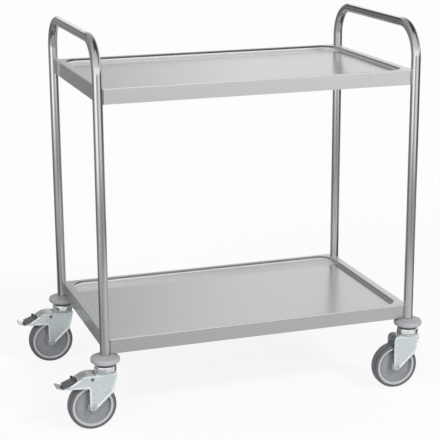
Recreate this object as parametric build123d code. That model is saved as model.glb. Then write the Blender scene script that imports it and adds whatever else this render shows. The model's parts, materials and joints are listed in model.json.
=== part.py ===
from build123d import *
import math
import os

# Two-shelf stainless steel serving cart on four swivel casters, two of them braked.
# Millimetres, +Z up, +Y away from the front. The origin is on the floor, midway between the four legs.

# End frames, each one bent tube
LEG_SPACING_X = 845.0
LEG_SPACING_Y = 508.0
TUBE_DIAMETER = 25.0
TUBE_WALL = 1.2
HANDLE_RISE = 114.0
HANDLE_BEND_RADIUS = 85.0

# Shelves
SHELF_SHEET = 1.0
SHELF_PITCH = 639.0
SHELF_CLEARANCE = 0.5
SHELF_END_INSET = 3.9
SHELF_SIDE_OVERHANG = 1.6
APRON_HEIGHT = 39.0
APRON_HEM = 8.0
END_RIM_WIDTH = 20.6
SIDE_RIM_WIDTH = 12.6
RIM_EDGE_RADIUS = 2.0
RECESS_DEPTH = 10.0
RECESS_CORNER_RADIUS = 40.0
RECESS_FLOOR_RADIUS = 5.0
WELD_SIZE = 3.0

# Wheels
WHEEL_DIAMETER = 125.0
TYRE_WIDTH = 32.0
TYRE_THICKNESS = 8.8
TYRE_SHOULDER_RADIUS = 7.0
RIM_WIDTH = 28.0
RIM_LIP = 6.5
RIM_WEB = 11.0
RIM_FILLET = 3.0
MOULDED_EDGE = 1.0
HUB_WALL = 5.0
BUSH_WALL = 4.0
AXLE_SLEEVE_WALL = 2.0

# Axle bolts and nuts
AXLE_DIAMETER = 8.0
AXLE_HEAD_DIAMETER = 15.0
AXLE_HEAD_HEIGHT = 4.4
AXLE_HEAD_ROUND = 2.2
AXLE_SOCKET = 5.0
AXLE_SOCKET_DEPTH = 2.9
AXLE_NUT_FLATS = 13.0
AXLE_NUT_HEIGHT = 6.5
AXLE_END = 2.0

# Caster forks
FORK_SHEET = 2.5
FORK_BEND_RADIUS = 8.0
WHEEL_SIDE_CLEARANCE = 3.5
AXLE_TRAIL = 38.0
CROWN_RISE = 25.0
CROWN_FRONT = 27.0
CROWN_CORNER_RADIUS = 6.0
CROWN_REAR_RADIUS = 14.0
RACE_PLATE = 2.5
CHEEK_TIP_RADIUS = 9.5
CHEEK_KNEE_X = 14.0
CHEEK_KNEE_RISE = 34.5
CHEEK_KNEE_RADIUS = 14.0

# Swivel bearings
HEAD_DIAMETER = 56.0
HEAD_HEIGHT = 14.0
HEAD_WALL = 3.5
HEAD_GAP = 1.5
HEAD_EDGE_RADIUS = 5.0
BALL_DIAMETER = 7.0
BALL_SINK = 1.0
BALL_SIDE_GAP = 2.0
STEM_DIAMETER = 10.0
STEM_FLATS = 16.0
STEM_HEAD_HEIGHT = 6.4
STEM_GRIP = 24.0
KINGPIN_WALL = 3.0
KINGPIN_FLANGE = 6.0
KINGPIN_FLANGE_HEIGHT = 3.0

# Bumper discs and leg plugs
BUMPER_DIAMETER = 75.0
BUMPER_FLANGE = 13.0
BUMPER_DOME = 5.5
BUMPER_COLLAR_WALL = 3.5
BUMPER_EDGE_RADIUS = 5.0
BUMPER_NECK_DIAMETER = 52.0
BUMPER_NECK = 6.0
SOCKET_DEPTH = 10.0
PLUG_LENGTH = 40.0
PLUG_FLOOR = 8.0

# Foot brakes on the two left casters
WING_SHOULDER_X = 54.5
WING_SHOULDER_RADIUS = 30.0
WING_REACH = 112.0
WING_TIP_DROP = 32.0
WING_TIP_RADIUS = 3.0
WING_ROOT_DROP = 36.0
WING_ROOT_RADIUS = 4.5
WEB_REAR = 30.0
PEDAL_SHEET = 2.5
PEDAL_TRAVEL = 9.0
PEDAL_SIDE_GAP = 1.0
PEDAL_FRONT = 32.5
PEDAL_SHOULDER = 58.0
PEDAL_STEP_INSET = 36.0
PEDAL_STEP_RUN = 2.0
PEDAL_STEP_DROP = 10.2
PEDAL_STEP_DEPTH = 7.2
PAD_THICKNESS = 4.5
PEDAL_HEEL_REACH = 1.0
PEDAL_HEEL_DROP = 30.5
PEDAL_TOE_REACH = 18.0
PEDAL_TOE_RISE = 6.5
PEDAL_BEND_RADIUS = 6.0
PEDAL_CROWN_RADIUS = 45.0
PIVOT_X = 39.0
PIVOT_DROP = 12.0
PIVOT_DIAMETER = 6.4
PIVOT_BORE = 4.2
PIVOT_HEAD_DIAMETER = 9.0
PIVOT_HEAD_HEIGHT = 1.0
PEDAL_EAR_RADIUS = 6.5
PAD_MARGIN = 1.5
PAD_STEP_GAP = 1.5
PAD_RIB_PITCH = 5.0
PAD_RIB_WIDTH = 2.5
PAD_RIB_HEIGHT = 1.0
PAD_LUG_DIAMETER = 7.0
PAD_LUG_HEIGHT = 6.0
SHOE_LENGTH = 11.0
SHOE_WIDTH = 24.0
SPRING_SHEET = 1.0
SPRING_WIDTH = 14.0
SPRING_SEAT = 9.0
SPRING_REACH = 12.0
SPRING_DIP = 6.0

# Clearances
SEAT_GAP = 0.05
RUNNING_GAP = 0.05
MOVING_GAP = 0.3
HUB_SIDE_GAP = 0.5
BRAKE_GAP = 0.4

# Heights, built up from the floor
AXLE_Z = WHEEL_DIAMETER / 2
WEB_TOP = WHEEL_DIAMETER + CROWN_RISE
CROWN_TOP = WEB_TOP + RACE_PLATE
HEAD_BOTTOM = CROWN_TOP + HEAD_GAP
HEAD_TOP = HEAD_BOTTOM + HEAD_HEIGHT
RACE_Z = CROWN_TOP + BALL_DIAMETER - 2 * BALL_SINK
NECK_TOP = HEAD_TOP + BUMPER_NECK
FLANGE_TOP = NECK_TOP + BUMPER_FLANGE
BUMPER_TOP = FLANGE_TOP + BUMPER_DOME
LEG_BOTTOM = BUMPER_TOP - SOCKET_DEPTH
APRON_BOTTOM = BUMPER_TOP + SHELF_CLEARANCE
BOTTOM_RIM_Z = APRON_BOTTOM + APRON_HEIGHT
TOP_RIM_Z = BOTTOM_RIM_Z + SHELF_PITCH
BAR_Z = TOP_RIM_Z + HANDLE_RISE

# Widths and radii that follow from the sizes above
TUBE_RADIUS = TUBE_DIAMETER / 2
TUBE_BORE_RADIUS = TUBE_RADIUS - TUBE_WALL
SHELF_LENGTH = LEG_SPACING_X - 2 * SHELF_END_INSET
SHELF_WIDTH = LEG_SPACING_Y + 2 * SHELF_SIDE_OVERHANG
RECESS_LENGTH = SHELF_LENGTH - 2 * END_RIM_WIDTH
RECESS_WIDTH = SHELF_WIDTH - 2 * SIDE_RIM_WIDTH
FORK_GAP = TYRE_WIDTH + 2 * WHEEL_SIDE_CLEARANCE
FORK_WIDTH = FORK_GAP + 2 * FORK_SHEET
AXLE_RADIUS = AXLE_DIAMETER / 2
SLEEVE_RADIUS = AXLE_RADIUS + SEAT_GAP + AXLE_SLEEVE_WALL
BUSH_RADIUS = SLEEVE_RADIUS + RUNNING_GAP + BUSH_WALL
HUB_RADIUS = BUSH_RADIUS + SEAT_GAP + HUB_WALL
HUB_WIDTH = FORK_GAP - 2 * HUB_SIDE_GAP
RIM_RADIUS = WHEEL_DIAMETER / 2 - TYRE_THICKNESS - SEAT_GAP
STEM_RADIUS = STEM_DIAMETER / 2
KINGPIN_RADIUS = STEM_RADIUS + SEAT_GAP + KINGPIN_WALL
KINGPIN_FLANGE_TOP = WEB_TOP - FORK_SHEET - MOVING_GAP
KINGPIN_BOTTOM = KINGPIN_FLANGE_TOP - KINGPIN_FLANGE_HEIGHT
BALL_RADIUS = BALL_DIAMETER / 2
BALL_CENTRE_Z = CROWN_TOP - BALL_SINK + BALL_RADIUS
BALL_RACE_RADIUS = HEAD_DIAMETER / 2 - HEAD_WALL - BALL_SIDE_GAP - BALL_RADIUS
CHEEK_REAR_X = -(AXLE_TRAIL + CHEEK_TIP_RADIUS)
PIVOT_Z = WEB_TOP - PIVOT_DROP
PIVOT_RADIUS = PIVOT_DIAMETER / 2
PEDAL_WIDTH = FORK_GAP - 2 * PEDAL_SIDE_GAP
PEDAL_UNDERSIDE = WEB_TOP - PEDAL_SHEET
EAR_BACK = PEDAL_FRONT - 2 * PIVOT_X
PEDAL_STEP_X = PEDAL_STEP_INSET - WING_REACH
PEDAL_HEEL_X = -(WING_REACH + PEDAL_HEEL_REACH)
PEDAL_TOE_X = -(WING_REACH + PEDAL_TOE_REACH)

# Caster places: name, side along X, side along Y, braked
CASTERS = [
    ("front_left", -1, -1, True),
    ("rear_left", -1, 1, True),
    ("front_right", 1, -1, False),
    ("rear_right", 1, 1, False),
]


def turned(points, radii):
    """Solid of revolution about Z from a closed profile of (radius, height) points with rounded corners."""
    profile = make_face(Plane.XZ * FilletPolyline(*points, radius=radii, close=True))
    return revolve(profile, Axis.Z)


def rod(radius, bottom, top):
    """Round bar about Z between two heights."""
    return Pos(0, 0, bottom) * extrude(Circle(radius), amount=top - bottom)


def tube(outer_radius, inner_radius, bottom, top):
    """Round tube about Z between two heights."""
    return rod(outer_radius, bottom, top) - rod(inner_radius, bottom, top)


def hex_bar(flats, bottom, top):
    """Hexagonal bar about Z, sized across its flats."""
    outline = RegularPolygon(radius=flats / 2, side_count=6, major_radius=False)
    return Pos(0, 0, bottom) * extrude(outline, amount=top - bottom)


def slab(outline, width):
    """Plate of a side outline in (x, z), spread evenly about the centre plane along Y."""
    return extrude(Plane.XZ * outline, amount=width / 2, both=True)


def block(x_range, y_range, z_range):
    """Box given by its lowest and highest value along each axis."""
    lows = [x_range[0], y_range[0], z_range[0]]
    sizes = [x_range[1] - x_range[0], y_range[1] - y_range[0], z_range[1] - z_range[0]]
    return Pos(*lows) * Box(*sizes, align=(Align.MIN, Align.MIN, Align.MIN))


def across(solid):
    """Turn a solid made about Z so that its axis lies along the axle and its top faces the front."""
    return Pos(-AXLE_TRAIL, 0, AXLE_Z) * Rot(90, 0, 0) * solid


def leg_places():
    """Plan positions of the four leg axes, with their side signs."""
    return [(sx * LEG_SPACING_X / 2, sy * LEG_SPACING_Y / 2, sx, sy) for _, sx, sy, _ in CASTERS]


def end_frame(side):
    """One tube bent into two legs and the push bar between them."""
    half = LEG_SPACING_Y / 2
    route = FilletPolyline(
        (-half, LEG_BOTTOM), (-half, BAR_Z), (half, BAR_Z), (half, LEG_BOTTOM), radius=HANDLE_BEND_RADIUS
    )
    path = Plane.YZ * route
    section = Plane(path @ 0, z_dir=path % 0) * (Circle(TUBE_RADIUS) - Circle(TUBE_BORE_RADIUS))
    return Pos(side * LEG_SPACING_X / 2, 0, 0) * sweep(section, path)


def rounded_block(length, width, radius, bottom, top, floor_radius):
    """Block with rounded plan corners and a rounded lower edge."""
    solid = Pos(0, 0, bottom) * extrude(RectangleRounded(length, width, radius), amount=top - bottom)
    return fillet(solid.edges().group_by(Axis.Z)[0], floor_radius)


def shelf(rim_z):
    """Pressed pan: a deck sunk below a flat rim, an apron all round and a hem turned in under it."""
    sheet = SHELF_SHEET
    floor_radius = min(RECESS_FLOOR_RADIUS, RECESS_DEPTH - RIM_EDGE_RADIUS - sheet)
    bottom = rim_z - APRON_HEIGHT
    deck_z = rim_z - RECESS_DEPTH
    outside = Pos(0, 0, bottom) * extrude(Rectangle(SHELF_LENGTH, SHELF_WIDTH), amount=APRON_HEIGHT)
    outside = fillet(outside.edges().group_by(Axis.Z)[-1], RIM_EDGE_RADIUS)
    outside -= rounded_block(RECESS_LENGTH, RECESS_WIDTH, RECESS_CORNER_RADIUS, deck_z, rim_z, floor_radius)
    rim_face = outside.faces().filter_by(Axis.Z).sort_by(Axis.Z)[-1]
    outside = fillet(rim_face.inner_wires()[0].edges(), RIM_EDGE_RADIUS)
    inside = Pos(0, 0, bottom + sheet) * extrude(
        Rectangle(SHELF_LENGTH - 2 * sheet, SHELF_WIDTH - 2 * sheet), amount=APRON_HEIGHT - 2 * sheet
    )
    inside = fillet(inside.edges().group_by(Axis.Z)[-1], RIM_EDGE_RADIUS - sheet / 2)
    inside -= rounded_block(
        RECESS_LENGTH + 2 * sheet,
        RECESS_WIDTH + 2 * sheet,
        RECESS_CORNER_RADIUS + sheet,
        deck_z - sheet,
        rim_z,
        floor_radius + sheet,
    )
    mouth = Pos(0, 0, bottom) * extrude(
        Rectangle(SHELF_LENGTH - 2 * APRON_HEM, SHELF_WIDTH - 2 * APRON_HEM), amount=2 * sheet
    )
    pan = outside - inside - mouth
    for x, y, _, _ in leg_places():
        pan -= Pos(x, y, 0) * rod(TUBE_RADIUS + SEAT_GAP, bottom, rim_z)
    return pan


def shelf_welds():
    """Weld beads up the outside of each leg, where the end apron and the side apron meet the tube."""
    side_run = math.sqrt(TUBE_RADIUS**2 - SHELF_SIDE_OVERHANG**2)
    end_run = math.sqrt(TUBE_RADIUS**2 - SHELF_END_INSET**2)
    beads = []
    for x, y, sx, sy in leg_places():
        tube_and_shelf = Rectangle(SHELF_LENGTH, SHELF_WIDTH) + Pos(x, y) * Circle(TUBE_RADIUS + SEAT_GAP)
        corners = [
            (x - sx * side_run, sy * SHELF_WIDTH / 2),
            (sx * SHELF_LENGTH / 2, y - sy * end_run),
        ]
        for corner_x, corner_y in corners:
            section = Pos(corner_x, corner_y) * Circle(WELD_SIZE) - tube_and_shelf
            for rim_z in (BOTTOM_RIM_Z, TOP_RIM_Z):
                height = APRON_HEIGHT - RIM_EDGE_RADIUS
                beads.append(Pos(0, 0, rim_z - APRON_HEIGHT) * extrude(section, amount=height))
    return Compound(children=[bead.solid() for bead in beads])


def leg_plug():
    """Plug in a leg's end, with a blind threaded hole for the stem bolt."""
    hole_top = LEG_BOTTOM + PLUG_LENGTH - PLUG_FLOOR
    plug = rod(TUBE_BORE_RADIUS - SEAT_GAP, LEG_BOTTOM, LEG_BOTTOM + PLUG_LENGTH)
    return plug - rod(STEM_RADIUS + SEAT_GAP, LEG_BOTTOM, hole_top)


def stem_bolt():
    """Bolt that clamps kingpin, head and bumper up against the leg."""
    head = hex_bar(STEM_FLATS, KINGPIN_BOTTOM - STEM_HEAD_HEIGHT, KINGPIN_BOTTOM)
    return head + rod(STEM_RADIUS, KINGPIN_BOTTOM, LEG_BOTTOM + STEM_GRIP)


def kingpin():
    """Flanged sleeve that carries the fork under the head."""
    sleeve = rod(KINGPIN_RADIUS, KINGPIN_BOTTOM, RACE_Z)
    flange = rod(KINGPIN_RADIUS + KINGPIN_FLANGE, KINGPIN_BOTTOM, KINGPIN_FLANGE_TOP)
    return sleeve + flange - rod(STEM_RADIUS + SEAT_GAP, KINGPIN_BOTTOM, RACE_Z)


def bumper_disc():
    """Soft disc under a leg: a rounded flange, a domed top with the leg's socket and a neck below."""
    edge = BUMPER_DIAMETER / 2
    neck = BUMPER_NECK_DIAMETER / 2
    socket = TUBE_RADIUS + SEAT_GAP
    bolt_hole = STEM_RADIUS + SEAT_GAP
    points = [
        (bolt_hole, HEAD_TOP),
        (neck, HEAD_TOP),
        (neck, NECK_TOP),
        (edge, NECK_TOP),
        (edge, FLANGE_TOP),
        (socket + BUMPER_COLLAR_WALL, BUMPER_TOP),
        (socket, BUMPER_TOP),
        (socket, LEG_BOTTOM),
        (bolt_hole, LEG_BOTTOM),
    ]
    return turned(points, [0, 0, 0, BUMPER_EDGE_RADIUS, BUMPER_EDGE_RADIUS, 0, 0, 0, 0])


def ball_groove():
    """Ring-shaped cut for the balls, with their running clearance."""
    return Pos(0, 0, BALL_CENTRE_Z) * Torus(BALL_RACE_RADIUS, BALL_RADIUS + RUNNING_GAP)


def swivel_head():
    """Fixed upper half of a caster: a cup with the upper ball race and the stem bolt's hole."""
    outer = HEAD_DIAMETER / 2
    inner = outer - HEAD_WALL
    hole = STEM_RADIUS + SEAT_GAP
    points = [
        (hole, RACE_Z),
        (inner, RACE_Z),
        (inner, HEAD_BOTTOM),
        (outer, HEAD_BOTTOM),
        (outer, HEAD_TOP),
        (hole, HEAD_TOP),
    ]
    return turned(points, [0, 0, 0, 0, HEAD_EDGE_RADIUS, 0]) - ball_groove()


def ball_ring():
    """Ring of separate bearing balls between fork and head, as many as have room."""
    share = math.asin((BALL_RADIUS + MOVING_GAP / 2) / BALL_RACE_RADIUS)
    count = math.floor(math.pi / share)
    places = PolarLocations(BALL_RACE_RADIUS, count)
    return Compound(children=[Pos(0, 0, BALL_CENTRE_Z) * place * Sphere(BALL_RADIUS) for place in places])


def cheek_tip():
    """Corner where the cheek's upright rear edge and its sloping front edge meet below the axle's eye."""
    run = CHEEK_KNEE_X + AXLE_TRAIL
    slope = math.atan2(CHEEK_KNEE_RISE, run) + math.asin(CHEEK_TIP_RADIUS / math.hypot(run, CHEEK_KNEE_RISE))
    drop = (CHEEK_KNEE_X - CHEEK_REAR_X) * math.tan(slope)
    return (CHEEK_REAR_X, AXLE_Z + CHEEK_KNEE_RISE - drop)


def cheek_outline(braked):
    """Side outline of a fork, with the brake's wing behind it where there is one."""
    corners = [
        ((CROWN_FRONT, WEB_TOP), CROWN_CORNER_RADIUS),
        ((CHEEK_KNEE_X, AXLE_Z + CHEEK_KNEE_RISE), CHEEK_KNEE_RADIUS),
        (cheek_tip(), CHEEK_TIP_RADIUS),
    ]
    if braked:
        corners += [
            ((CHEEK_REAR_X, WEB_TOP - WING_ROOT_DROP), WING_ROOT_RADIUS),
            ((-WING_REACH, WEB_TOP - WING_TIP_DROP), WING_TIP_RADIUS),
            ((-WING_SHOULDER_X, WEB_TOP), WING_SHOULDER_RADIUS),
        ]
    else:
        corners += [((CHEEK_REAR_X, WEB_TOP), CROWN_REAR_RADIUS)]
    points = [point for point, _ in corners]
    radii = [radius for _, radius in corners]
    return make_face(FilletPolyline(*points, radius=radii, close=True))


def fork(braked):
    """Pressed fork: a web under the race plate, bent down into two cheeks that hold the axle."""
    reach = WING_REACH + CROWN_FRONT
    outer = RectangleRounded(FORK_WIDTH, 2 * WEB_TOP, FORK_BEND_RADIUS)
    inner = RectangleRounded(FORK_GAP, 2 * (WEB_TOP - FORK_SHEET), FORK_BEND_RADIUS - FORK_SHEET)
    channel = extrude(Plane.YZ * (outer - inner), amount=reach, both=True)
    body = slab(cheek_outline(braked), FORK_WIDTH) & channel
    if braked:
        half_gap = FORK_GAP / 2
        bend_bottom = WEB_TOP - FORK_BEND_RADIUS
        body -= block((-reach, -WEB_REAR), (-half_gap, half_gap), (bend_bottom, WEB_TOP))
        body -= across_pivot(rod(PIVOT_RADIUS + SEAT_GAP, -FORK_WIDTH, FORK_WIDTH))
    body += rod(HEAD_DIAMETER / 2, WEB_TOP, CROWN_TOP)
    body -= rod(KINGPIN_RADIUS + RUNNING_GAP, WEB_TOP - FORK_SHEET, CROWN_TOP)
    body -= ball_groove()
    return body - across(rod(AXLE_RADIUS + SEAT_GAP, -FORK_WIDTH, FORK_WIDTH))


def axle_bolt():
    """Button-headed bolt with a hexagon socket, its head on the front cheek."""
    seat = FORK_WIDTH / 2
    end = seat + AXLE_NUT_HEIGHT + AXLE_END
    top = seat + AXLE_HEAD_HEIGHT
    head = rod(AXLE_HEAD_DIAMETER / 2, seat, top)
    head = fillet(head.edges().group_by(Axis.Z)[-1], AXLE_HEAD_ROUND)
    socket = hex_bar(AXLE_SOCKET, top - AXLE_SOCKET_DEPTH, top)
    return across(head + rod(AXLE_RADIUS, -end, seat) - socket)


def axle_nut():
    """Hexagon nut on the rear cheek."""
    seat = -FORK_WIDTH / 2
    nut = hex_bar(AXLE_NUT_FLATS, seat - AXLE_NUT_HEIGHT, seat)
    return across(nut - rod(AXLE_RADIUS + SEAT_GAP, seat - AXLE_NUT_HEIGHT, seat))


def axle_sleeve():
    """Spacer tube that the two cheeks are clamped against."""
    return across(tube(SLEEVE_RADIUS, AXLE_RADIUS + SEAT_GAP, -FORK_GAP / 2, FORK_GAP / 2))


def wheel_bush():
    """Plain bearing bush that turns on the sleeve."""
    return across(tube(BUSH_RADIUS, SLEEVE_RADIUS + RUNNING_GAP, -HUB_WIDTH / 2, HUB_WIDTH / 2))


def wheel_rim():
    """Moulded rim: a hub, a dished web and a raised lip that carries the tyre."""
    bore = BUSH_RADIUS + SEAT_GAP
    lip = RIM_RADIUS - RIM_LIP
    upper = [
        (bore, HUB_WIDTH / 2),
        (HUB_RADIUS, HUB_WIDTH / 2),
        (HUB_RADIUS, RIM_WEB / 2),
        (lip, RIM_WEB / 2),
        (lip, RIM_WIDTH / 2),
        (RIM_RADIUS, RIM_WIDTH / 2),
    ]
    lower = [(radius, -height) for radius, height in reversed(upper)]
    rounds = [0, MOULDED_EDGE, RIM_FILLET, RIM_FILLET, MOULDED_EDGE, 0]
    return across(turned(upper + lower, rounds + rounds[::-1]))


def tyre():
    """Solid tyre with rounded shoulders."""
    bore = RIM_RADIUS + SEAT_GAP
    outer = WHEEL_DIAMETER / 2
    half = TYRE_WIDTH / 2
    points = [(bore, -half), (outer, -half), (outer, half), (bore, half)]
    return across(turned(points, [MOULDED_EDGE, TYRE_SHOULDER_RADIUS, TYRE_SHOULDER_RADIUS, MOULDED_EDGE]))


def across_pivot(solid):
    """Turn a solid made about Z so that its axis lies along the pedal's pivot."""
    return Pos(-PIVOT_X, 0, PIVOT_Z) * Rot(90, 0, 0) * solid


def pivot_pin():
    """Hollow rivet through both wings, with a flat head outside each."""
    seat = FORK_WIDTH / 2
    end = seat + PIVOT_HEAD_HEIGHT
    head_radius = PIVOT_HEAD_DIAMETER / 2
    pin = rod(PIVOT_RADIUS, -end, end) + rod(head_radius, seat, end) + rod(head_radius, -end, -seat)
    return across_pivot(pin - rod(PIVOT_BORE / 2, -end, end))


def pedal_step():
    """Point on the pedal's centre line where its slope drops to carry the tread pad."""
    return (PEDAL_STEP_X, PEDAL_UNDERSIDE + PEDAL_SHEET / 2 - PEDAL_STEP_DROP)


def pedal_heel():
    """Lowest point of the pedal's centre line, where the toe turns up."""
    return (PEDAL_HEEL_X, PEDAL_UNDERSIDE + PEDAL_SHEET / 2 - PEDAL_HEEL_DROP)


def pedal_shelf():
    """Start of the pedal's lower stretch, below the step."""
    step_x, step_z = pedal_step()
    return (step_x - PEDAL_STEP_RUN, step_z - PEDAL_STEP_DEPTH)


def pedal_plate():
    """Bent strip of the pedal: level over the pivot, sloping down, stepped under the pad, turned up at the toe."""
    centre_z = PEDAL_UNDERSIDE + PEDAL_SHEET / 2
    heel_x, heel_z = pedal_heel()
    route = FilletPolyline(
        (-PEDAL_FRONT, centre_z),
        (-PEDAL_SHOULDER, centre_z),
        pedal_step(),
        pedal_shelf(),
        (heel_x, heel_z),
        (PEDAL_TOE_X, heel_z + PEDAL_TOE_RISE),
        radius=[PEDAL_CROWN_RADIUS, PEDAL_SHEET, PEDAL_SHEET, PEDAL_BEND_RADIUS],
    )
    return slab(trace(route, PEDAL_SHEET), PEDAL_WIDTH)


def pedal():
    """Pressed foot lever between the wings, with two ears on the pivot."""
    half = PEDAL_WIDTH / 2
    inner = half - PEDAL_SHEET
    ears = slab(Pos(-PIVOT_X, PIVOT_Z) * Circle(PEDAL_EAR_RADIUS), PEDAL_WIDTH)
    ears += block((EAR_BACK, -PEDAL_FRONT), (-half, half), (PIVOT_Z, PEDAL_UNDERSIDE))
    ears -= block((-WING_REACH, 0), (-inner, inner), (0, PEDAL_UNDERSIDE))
    return pedal_plate() + ears - across_pivot(rod(PIVOT_RADIUS + RUNNING_GAP, -FORK_WIDTH, FORK_WIDTH))


def tread_pad():
    """Ribbed pad on the pedal's lower stretch, with a raised lug at its upper rear corner."""
    start = Vector(*pedal_shelf())
    end = Vector(*pedal_heel())
    slope = math.atan2(start.Y - end.Y, start.X - end.X)
    toe_slope = math.atan2(PEDAL_TOE_RISE, PEDAL_HEEL_X - PEDAL_TOE_X)
    bend = PEDAL_BEND_RADIUS * math.tan((slope + toe_slope) / 2)
    half_width = PEDAL_WIDTH / 2 - PAD_MARGIN
    bottom = PEDAL_SHEET / 2
    top = bottom + PAD_THICKNESS
    first = bend - (start - end).length
    last = -PAD_STEP_GAP
    pad = block((first, last), (-half_width, half_width), (bottom, top))
    rib_count = math.floor((last - first - PAD_LUG_DIAMETER) / PAD_RIB_PITCH)
    for rib in range(rib_count):
        rib_x = first + PAD_RIB_WIDTH / 2 + PAD_RIB_PITCH * rib
        rib_range = (rib_x, rib_x + PAD_RIB_WIDTH)
        pad += block(rib_range, (-half_width, half_width), (top, top + PAD_RIB_HEIGHT))
    lug_x = last - PAD_LUG_DIAMETER / 2
    lug_y = half_width - PAD_LUG_DIAMETER / 2
    pad += Pos(lug_x, lug_y, 0) * rod(PAD_LUG_DIAMETER / 2, top, top + PAD_LUG_HEIGHT)
    return Pos(start.X, 0, start.Y) * Rot(0, -math.degrees(slope), 0) * pad


def brake_shoe():
    """Block under the pedal, hollowed to lie just off the tyre when the pedal is down."""
    front = EAR_BACK - PEDAL_SHEET
    half = SHOE_WIDTH / 2
    blank = block((front - SHOE_LENGTH, front), (-half, half), (AXLE_Z, PEDAL_UNDERSIDE)) - pedal_plate()
    pressed_tyre = across(rod(WHEEL_DIAMETER / 2 + BRAKE_GAP, -TYRE_WIDTH, TYRE_WIDTH))
    pivot_axis = Axis((-PIVOT_X, 0, PIVOT_Z), (0, 1, 0))
    shoe = blank - pressed_tyre.rotate(pivot_axis, PEDAL_TRAVEL)
    return shoe.solids().sort_by(SortBy.VOLUME)[-1]


def leaf_spring():
    """Bent strip under the pedal that reaches forward below the fork's web."""
    seat_z = PEDAL_UNDERSIDE - SPRING_SHEET / 2
    front = -(PEDAL_FRONT + SPRING_SHEET)
    route = Polyline(
        (front - SPRING_SEAT, seat_z), (front, seat_z), (front + SPRING_REACH, seat_z - SPRING_DIP)
    )
    return slab(trace(route, SPRING_SHEET), SPRING_WIDTH)


def at_legs(solid):
    """The same solid under each of the four legs, kept as one group."""
    return Compound(children=[Pos(x, y, 0) * solid.solid() for x, y, _, _ in leg_places()])


def cart():
    """All pieces of the cart by name."""
    pieces = {
        "left_end_frame": end_frame(-1),
        "right_end_frame": end_frame(1),
        "top_shelf": shelf(TOP_RIM_Z),
        "bottom_shelf": shelf(BOTTOM_RIM_Z),
        "shelf_welds": shelf_welds(),
        "leg_plugs": at_legs(leg_plug()),
        "stem_bolts": at_legs(stem_bolt()),
        "kingpins": at_legs(kingpin()),
    }
    for name, sx, sy, braked in CASTERS:
        caster = {
            "bumper_disc": bumper_disc(),
            "swivel_head": swivel_head(),
            "ball_ring": ball_ring(),
            "fork": fork(braked),
            "axle_bolt": axle_bolt(),
            "axle_nut": axle_nut(),
            "axle_sleeve": axle_sleeve(),
            "wheel_bush": wheel_bush(),
            "wheel_rim": wheel_rim(),
            "tyre": tyre(),
        }
        if braked:
            caster["pivot_pin"] = pivot_pin()
            caster["brake_pedal"] = pedal()
            caster["tread_pad"] = tread_pad()
            caster["brake_shoe"] = brake_shoe()
            caster["pedal_spring"] = leaf_spring()
        leg = Pos(sx * LEG_SPACING_X / 2, sy * LEG_SPACING_Y / 2, 0)
        for piece, solid in caster.items():
            pieces[f"{name}_{piece}"] = leg * solid
    return pieces


os.makedirs("parts", exist_ok=True)
for node, shape in cart().items():
    export_step(shape, f"parts/{node}.step")
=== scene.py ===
"""Looks of a two-shelf stainless steel serving cart on four casters, built around its CAD frame.

Metres, +Z up, +Y away from the front. The origin is on the floor, midway between the four legs.
Azimuths are in degrees, from +Y towards +X.
"""

from __future__ import annotations

import json
import logging
import math
from dataclasses import dataclass
from enum import Enum
from typing import Mapping, Sequence, Union

import bpy
import numpy as np
from mathutils import Matrix, Vector

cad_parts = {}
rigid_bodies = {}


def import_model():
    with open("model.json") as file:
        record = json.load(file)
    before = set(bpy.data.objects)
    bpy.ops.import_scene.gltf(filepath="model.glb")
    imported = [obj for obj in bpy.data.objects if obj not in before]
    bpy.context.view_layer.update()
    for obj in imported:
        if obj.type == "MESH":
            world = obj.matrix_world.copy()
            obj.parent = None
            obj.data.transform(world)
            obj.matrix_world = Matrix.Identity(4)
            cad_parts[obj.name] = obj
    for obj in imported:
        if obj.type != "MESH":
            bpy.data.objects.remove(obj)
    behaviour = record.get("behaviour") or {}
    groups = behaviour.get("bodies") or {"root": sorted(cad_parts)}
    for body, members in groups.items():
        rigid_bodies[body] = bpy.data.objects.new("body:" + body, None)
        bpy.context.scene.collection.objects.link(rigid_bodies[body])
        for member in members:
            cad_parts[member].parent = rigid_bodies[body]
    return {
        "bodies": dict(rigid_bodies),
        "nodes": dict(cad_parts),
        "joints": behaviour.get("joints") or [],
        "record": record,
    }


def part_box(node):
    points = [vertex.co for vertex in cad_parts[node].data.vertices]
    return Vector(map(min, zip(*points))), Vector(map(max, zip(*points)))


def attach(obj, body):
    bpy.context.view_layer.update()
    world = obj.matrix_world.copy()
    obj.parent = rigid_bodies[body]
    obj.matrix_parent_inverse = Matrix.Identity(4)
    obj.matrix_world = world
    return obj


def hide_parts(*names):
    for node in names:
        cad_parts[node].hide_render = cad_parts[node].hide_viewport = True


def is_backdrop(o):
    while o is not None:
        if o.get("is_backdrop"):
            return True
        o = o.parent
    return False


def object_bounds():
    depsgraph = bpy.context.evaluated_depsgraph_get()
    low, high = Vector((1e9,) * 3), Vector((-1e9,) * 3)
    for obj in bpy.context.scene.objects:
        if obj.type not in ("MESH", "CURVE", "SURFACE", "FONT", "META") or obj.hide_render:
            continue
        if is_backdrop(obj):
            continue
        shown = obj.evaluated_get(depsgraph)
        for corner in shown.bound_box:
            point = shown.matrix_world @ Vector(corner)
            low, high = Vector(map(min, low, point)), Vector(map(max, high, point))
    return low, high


LOG = logging.getLogger("cart")
MILLIMETRE = 0.001
NOISE_MIDDLE = 0.5
RISING = (0.0, 1.0)
FALLING = (1.0, 0.0)
BEVEL_SAMPLES = 4
FULL_TURN = 360.0

Colour = tuple[float, float, float]
Pair = tuple[float, float]
Value = Union["Socket", float, Sequence[float]]


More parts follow.
